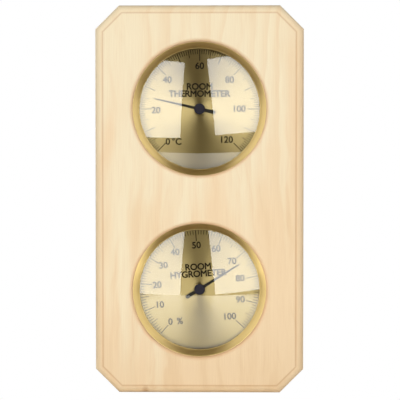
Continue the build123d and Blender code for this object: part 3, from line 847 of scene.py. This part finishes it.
    def coil_mesh(self) -> tuple[bpy.types.Mesh, np.ndarray]:
        """The wound strip, with each point's share of the way from the outer end to the inner.

        The centreline is made of half circles, each half a pitch smaller than the last and centred half a
        pitch to one side of it in turn, with a straight leg at each end; the strip is half its thickness
        to each side of that line.
        """
        low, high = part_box(self.node("coil"))
        angle = np.linspace(0, 2 * pi * self.coil_turns, self.coil_steps * self.coil_turns + 1)
        step_mm = (self.coil_outer_mm - self.coil_inner_mm) / self.coil_turns / 2
        last_half = 2 * self.coil_turns - 1
        half_turn = last_half - np.minimum((angle / pi).astype(int), last_half)
        radius = self.coil_inner_mm + half_turn * step_mm
        shift = np.where(half_turn % 2 == 1, step_mm, 0.0)
        wound = np.stack([shift + radius * np.cos(angle), -radius * np.sin(angle)], axis=-1)
        line = np.concatenate([[[self.coil_reach_mm, 0.0]], wound, [[self.coil_leg_mm, 0.0]]]) * MM
        run = np.gradient(line, axis=0)
        side = np.stack([-run[:, 1], run[:, 0]], axis=-1) / np.linalg.norm(run, axis=1)[:, None]
        half = self.coil_strip_mm * MM / 2
        front, rear = low.y + self.coil_inset_mm * MM, high.y - self.coil_inset_mm * MM
        rings = []
        for offset, y in ((-half, front), (half, front), (half, rear), (-half, rear)):
            edge = line + side * offset
            rings.append(np.stack([edge[:, 0], np.full(len(line), y), edge[:, 1]], axis=-1))
        points = np.stack(rings, axis=1)
        length = np.concatenate([[0.0], np.cumsum(np.linalg.norm(np.diff(line, axis=0), axis=1))])
        share = np.clip((length - length[1]) / (length[-2] - length[1]), 0.0, 1.0)
        step, corner = np.meshgrid(np.arange(len(line) - 1), np.arange(4), indexing="ij")
        after = (corner + 1) % 4
        here, there = step * 4, (step + 1) * 4
        sides = np.stack([here + corner, here + after, there + after, there + corner], axis=-1)
        last = 4 * (len(line) - 1)
        ends = np.array([[0, 1, 2, 3], [last + 3, last + 2, last + 1, last]])
        mesh = bpy.data.meshes.new(self.node("wound_coil"))
        faces = np.concatenate([sides.reshape(-1, 4), ends])
        mesh.from_pydata(points.reshape(-1, 3).tolist(), [], faces.tolist())
        turned = Matrix.Rotation(radians(self.turn), 4, "Y")
        axis = Vector((self.centre.x, 0.0, self.centre.z))
        mesh.transform(Matrix.Translation(axis) @ turned)
        return mesh, np.repeat(share, 4)

    def build(self, finishes: dict[str, bpy.types.Material]) -> None:
        """Makes this gauge's new pieces and dresses its CAD nodes.

        Args:
            finishes: materials by name.
        """
        centre = self.centre
        gold = SpunMetal(
            self.node("ring_gold"), (0.82, 0.63, 0.275), (0.70, 0.52, 0.19),
            roughness=0.34, rings_per_mm=2.0, ring_strength=0.3, relief_mm=0.001,
        ).material(centre)
        dial = SpunMetal(
            self.node("dial_gold"), (0.325, 0.25, 0.115), (0.295, 0.225, 0.098),
            roughness=0.29, rings_per_mm=1.2, ring_strength=0.5, anisotropy=0.95,
            relief_mm=0.0, smudge=0.0, unevenness=0.0,
        ).material(centre)
        case = SpunMetal(
            self.node("case_metal"), (0.74, 0.74, 0.73), (0.60, 0.60, 0.60),
            roughness=0.36, rings_per_mm=2.4, ring_strength=0.35,
        ).material(centre)
        brass = SpunMetal(
            self.node("brass"), (0.80, 0.62, 0.30), (0.60, 0.42, 0.16),
            roughness=0.30, rings_per_mm=9.0, ring_strength=0.4,
        ).material(centre)
        made = {
            "marks": (self.marks_mesh(), finishes["ink"], "black_pointer", None),
            "lettering": (self.lettering_mesh(), finishes["ink"], "black_pointer", None),
            "glass": (self.lens_mesh(), finishes["glass"], "clear_glass", "lens"),
            "ring": (self.bezel_mesh(), gold, "gold_anodised", "bezel"),
        }
        for label, (mesh, material, slot, node) in made.items():
            piece = new_piece(self.node(label), mesh, material)
            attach(piece, "station")
            if node:
                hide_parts(self.node(node))
            log.info("%s: %d faces", piece.name, len(mesh.polygons))
        self.build_coil(finishes["strip_" + self.name])
        for label, material in {
            "case": case, "dial": dial, "front_bush": brass, "pillars": brass, "calibration_spindle": brass,
            "coil_collet": brass, "lens_gasket": finishes["rubber"], "bridge": finishes["steel"],
            "bridge_screws": finishes["zinc"], "case_screws": finishes["zinc"], "friction_washer": finishes["steel"],
            "calibration_arm": finishes["steel"], "staff": finishes["steel"], "pointer": finishes["pointer"],
            "pointer_hub": finishes["hub"],
        }.items():
            smooth_cad(self.node(label), material)

    def build_coil(self, material: bpy.types.Material) -> None:
        """The coil winds between the calibration arm and the staff, evenly along its length."""
        mesh, share = self.coil_mesh()
        piece = new_piece(self.node("wound_coil"), mesh, material)
        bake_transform(piece)
        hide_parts(self.node("coil"))
        log.info("%s: %d faces", piece.name, len(mesh.polygons))


# ------------------------------------------------------------------------------------------ studio
@dataclass(frozen=True)
class Softbox:
    """A rectangular lamp, which the camera doesn't see but polished surfaces reflect."""

    name: str
    centre: tuple[float, float, float]
    width: float
    height: float
    radiance: float
    heading: float = 0.0
    roll: float = 0.0

    def build(self) -> None:
        """An area lamp whose power gives the wanted radiance: pi times its area times that."""
        lamp = bpy.data.lights.new(self.name, "AREA")
        lamp.shape = "RECTANGLE"
        lamp.size, lamp.size_y = self.width, self.height
        lamp.energy = pi * self.width * self.height * self.radiance
        holder = bpy.data.objects.new(self.name, lamp)
        holder.location = self.centre
        holder.rotation_euler = (pi / 2, radians(self.roll), radians(self.heading))
        holder.visible_camera = False
        bpy.context.scene.collection.objects.link(holder)


@dataclass
class Studio:
    """The floor, the lamps, the surroundings and the camera."""

    camera_distance: float = 1.100
    camera_side: float = 0.020
    camera_height: float = 0.0373
    camera_tilt: float = -2.002
    camera_turn: float = 1.046
    focal_mm: float = 147.0
    floor_front: float = -0.507
    # Painted light in the floor's reflections: the grazing range and side fall-off of an emitted glow, its near and
    # far colours, and the floor's near-black colour to glossy rays (painted shade).
    floor_sheen: tuple[float, float] = (0.20, 0.70)
    floor_sides: tuple[float, float] = (0.14, 0.26)
    floor_near: Colour = (0.15, 0.11, 0.07)
    floor_far: Colour = (1.9, 1.85, 1.7)
    floor_colour: Colour = (0.86, 0.85, 0.83)
    floor_dark: Colour = (0.02, 0.02, 0.02)
    floor_half_width: float = 3.0
    floor_back: float = 4.0
    floor_gap: float = 0.0002
    room: Colour = (0.12, 0.12, 0.12)
    room_reflected: Colour = (0.10, 0.068, 0.02)
    softboxes: tuple[Softbox, ...] = field(
        default=(
            Softbox("left_softbox", (-0.665, -1.85, 0.27), 0.76, 1.21, 4.6, -20.0, 3.0),
            Softbox("right_softbox", (0.51, -1.85, 0.34), 0.76, 1.21, 4.6, 15.0, -6.0),
            Softbox("left_wall", (-1.3, -0.65, 0.95), 1.1, 2.5, 0.95, -63.0),
            Softbox("right_wall", (1.3, -0.65, 0.95), 1.1, 2.5, 0.95, 63.0),
            Softbox("back_left", (-0.9, 1.5, 0.5), 1.0, 1.0, 3.4, -150.0),
            Softbox("back_right", (0.9, 1.5, 0.7), 0.8, 0.8, 2.6, 150.0),
        )
    )

    def build(self) -> None:
        """Sets up everything that isn't part of the object."""
        self.build_floor()
        self.build_world()
        for softbox in self.softboxes:
            softbox.build()
        self.build_camera()

    def build_floor(self) -> None:
        """A plain pale floor under the board, white to the camera and clear from below.

        In reflections it is painted light and shade: near black to glossy rays, plus an emitted glow, seen only by
        glossy rays, that is bright where it is grazed near the middle, and dim and warm elsewhere.
        """
        z = CAD_LOW.z - self.floor_gap
        x, y = np.meshgrid([-self.floor_half_width, self.floor_half_width], [self.floor_front, self.floor_back])
        points = np.stack([x, y, np.full_like(x, z)], axis=-1).reshape(-1, 3)
        mesh = bpy.data.meshes.new("floor")
        mesh.from_pydata(points.tolist(), [], [(0, 1, 3, 2)])
        paint = Paint("floor_pale", Roughness=0.22)
        path = paint.add("ShaderNodeLightPath").outputs
        # painted shade: to glossy rays the floor is near black
        paint.set("Base Color", paint.blend(path["Is Glossy Ray"], self.floor_colour, self.floor_dark))
        # painted reflection: an emitted glow that only glossy rays see, strongest where they graze the floor near the
        # middle
        grazing = paint.add("ShaderNodeLayerWeight", {"Blend": 0.5}).outputs["Facing"]
        aside, _, _ = paint.split(paint.position)
        middle = paint.span(paint.math("ABSOLUTE", aside), *self.floor_sides, 1.0, 0.0)
        share = paint.times(paint.span(grazing, *self.floor_sheen), middle)
        glow = paint.blend(share, self.floor_near, self.floor_far)
        glowing = paint.add("ShaderNodeEmission", {"Color": glow, "Strength": 1.0})
        bright = paint.add("ShaderNodeEmission", {"Color": (*WHITE, 1.0), "Strength": 1.0})
        helped = paint.add("ShaderNodeAddShader", {0: paint.shader.outputs[0], 1: glowing.outputs[0]})
        lit = paint.add(
            "ShaderNodeMixShader", {0: path["Is Glossy Ray"], 1: paint.shader.outputs[0], 2: helped.outputs[0]}
        )
        mixed = paint.add("ShaderNodeMixShader", {0: path["Is Camera Ray"], 1: lit.outputs[0], 2: bright.outputs[0]})
        below = paint.add("ShaderNodeBsdfTransparent")
        back = paint.add("ShaderNodeNewGeometry").outputs["Backfacing"]
        both = paint.add("ShaderNodeMixShader", {0: back, 1: mixed.outputs[0], 2: below.outputs[0]})
        paint.tree.links.new(both.outputs[0], paint.output.inputs[0])
        mesh.materials.append(paint.material)
        floor = bpy.data.objects.new("floor", mesh)
        bpy.context.scene.collection.objects.link(floor)

    def build_world(self) -> None:
        """White behind the object, dim and warm in its reflections, dim and grey in its light."""
        world = bpy.data.worlds.new("studio")
        world.use_nodes = True
        tree = Tree(world.node_tree)
        world.node_tree.nodes.clear()
        path = tree.add("ShaderNodeLightPath").outputs
        room = tree.blend(path["Is Glossy Ray"], self.room, self.room_reflected)
        colour = tree.blend(path["Is Camera Ray"], room, WHITE)
        shade = tree.add("ShaderNodeBackground", {"Color": colour, "Strength": 1.0})
        output = tree.add("ShaderNodeOutputWorld")
        world.node_tree.links.new(shade.outputs[0], output.inputs[0])
        bpy.context.scene.world = world

    def build_camera(self) -> None:
        """A long lens, a little above and to the right of the board's middle."""
        camera = bpy.data.cameras.new("camera")
        camera.lens, camera.sensor_width = self.focal_mm, 36.0
        camera.clip_start, camera.clip_end = 0.05, 50.0
        holder = bpy.data.objects.new("camera", camera)
        holder.location = (self.camera_side, -self.camera_distance, self.camera_height)
        holder.rotation_euler = (radians(90 + self.camera_tilt), 0, radians(self.camera_turn))
        bpy.context.scene.collection.objects.link(holder)
        bpy.context.scene.camera = holder
        bpy.context.scene.view_settings.view_transform = "Standard"


# ------------------------------------------------------------------------------------------ the station
@dataclass
class Station:
    """The board with its hanger, and the two gauges."""

    gauges: tuple[Gauge, ...] = field(
        default_factory=lambda: (
            Gauge("thermometer", 0.0, Scale(120, 20, "°C", ("ROOM", "THERMOMETER"), THERMOMETER_PLACES)),
            Gauge("hygrometer", -4.0, Scale(100, 10, "%", ("ROOM", "HYGROMETER"), HYGROMETER_PLACES)),
        )
    )

    def build(self) -> None:
        """Makes the finishes, dresses the board and the hanger, and builds the gauges."""
        finishes = {
            "ink": Coating("dial_ink", (0.008, 0.007, 0.006), 0.6, dust_share=0.02, shine=0.05).material(),
            "glass": LensGlass().material(),
            "rubber": Coating("gasket_rubber", (0.02, 0.02, 0.02), 0.75).material(),
            "steel": SheetMetal("plated_steel", (0.62, 0.61, 0.58), (0.46, 0.45, 0.43)).material(),
            "zinc": SheetMetal("zinc_plate", (0.66, 0.67, 0.66), (0.50, 0.51, 0.53), 0.30).material(),
            "pointer": Coating("pointer_black", (0.012, 0.011, 0.010), 0.45, dust_share=0.03, shine=0.15).material(),
            "hub": Coating("hub_blue_black", (0.012, 0.011, 0.028), 0.35, dust_share=0.02, shine=0.12).material(),
            "strip_thermometer": SheetMetal("bimetal", (0.60, 0.52, 0.42), (0.42, 0.34, 0.26)).material(),
            "strip_hygrometer": Coating("hygroscopic_film", (0.66, 0.56, 0.36), 0.6).material(),
        }
        smooth_cad("board", Pine().material([gauge.centre for gauge in self.gauges]))
        log.info("board: dressed")
        for node in ("hanger_plate", "hanger_screws"):
            smooth_cad(node, finishes["zinc"])
            log.info("%s: dressed", node)
        for gauge in self.gauges:
            gauge.build(finishes)
            log.info("%s: built", gauge.name)


def main() -> None:
    """Builds the station and the studio."""
    logging.basicConfig(level=logging.INFO, format="%(message)s")
    for name in ("Cube", "Light", "Camera"):
        clear_default(name)
    Station().build()
    Studio().build()


if __name__ == "__main__":
    main()
